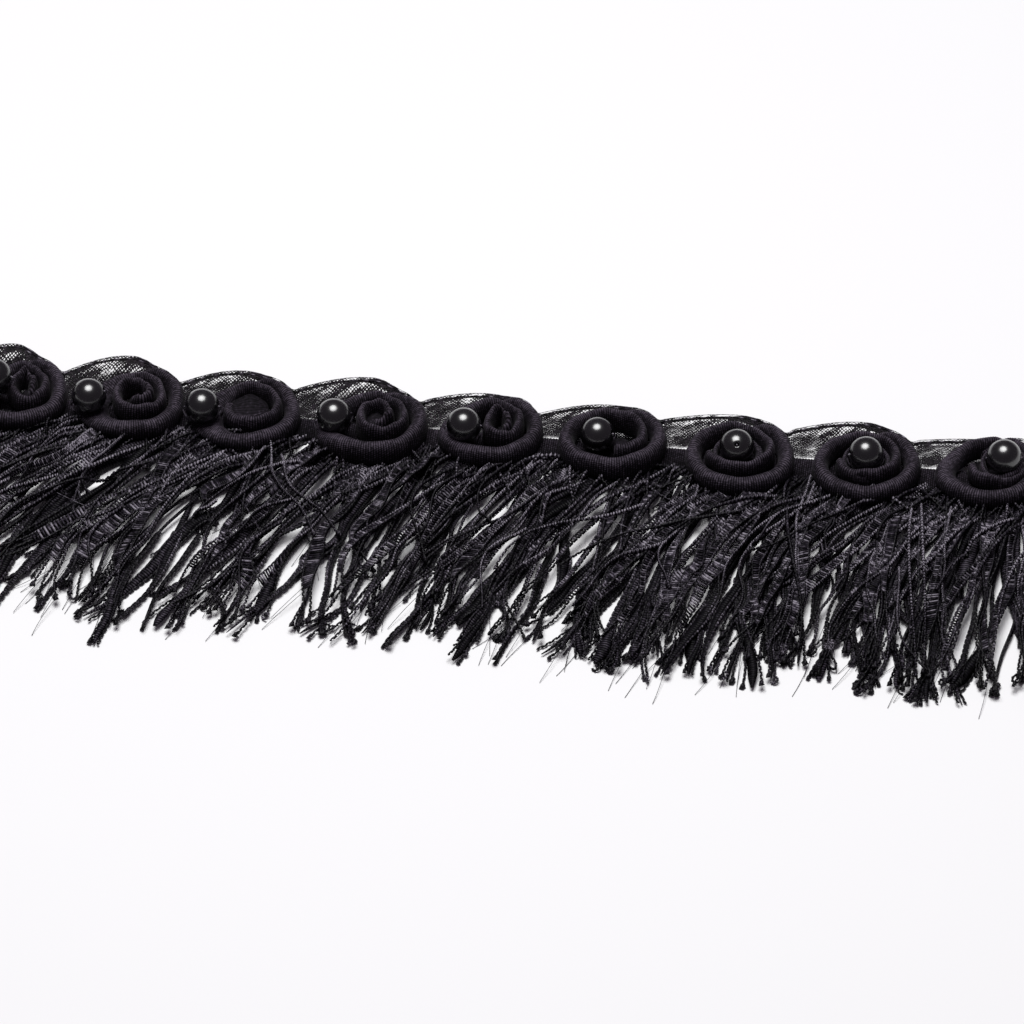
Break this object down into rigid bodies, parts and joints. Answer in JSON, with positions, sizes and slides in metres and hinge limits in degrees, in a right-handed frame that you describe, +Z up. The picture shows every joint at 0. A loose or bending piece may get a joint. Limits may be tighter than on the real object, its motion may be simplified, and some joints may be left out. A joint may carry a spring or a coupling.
{
  "type": "rosette fringe trim with pearl beads",
  "caption": "Cut length of sewing trim: a narrow heading tape with a thick fringe, a scalloped gauze ribbon, and rolled fabric rosettes that each hold a glossy pearl bead.",
  "frame": {"origin": "the middle of the heading tape's underside, on the surface that the trim lies on", "axes": "+X runs along the trim, +Y points to the scalloped back edge and -Y to the fringe's tips, +Z is up through the rosettes"},
  "size_m": [0.2137, 0.066, 0.0103],
  "materials": {
    "fringe_yarn": "crimped ladder yarn, black with a faint grey sparkle",
    "gauze": "sheer open gauze, black",
    "ribbed_fabric": "matt finely ribbed fabric tube, black",
    "pearl": "glossy black pearl coating"
  },
  "bodies": {
    "root": {"fringe_band": "fringe_yarn", "gauze_ribbon": "gauze", "rosette_1": "ribbed_fabric", "rosette_2": "ribbed_fabric", "rosette_3": "ribbed_fabric", "rosette_4": "ribbed_fabric", "rosette_5": "ribbed_fabric", "rosette_6": "ribbed_fabric", "rosette_7": "ribbed_fabric", "rosette_8": "ribbed_fabric", "rosette_9": "ribbed_fabric", "pearl_1": "pearl", "pearl_2": "pearl", "pearl_3": "pearl", "pearl_4": "pearl", "pearl_5": "pearl", "pearl_6": "pearl", "pearl_7": "pearl", "pearl_8": "pearl", "pearl_9": "pearl"}
  },
  "joints": []
}
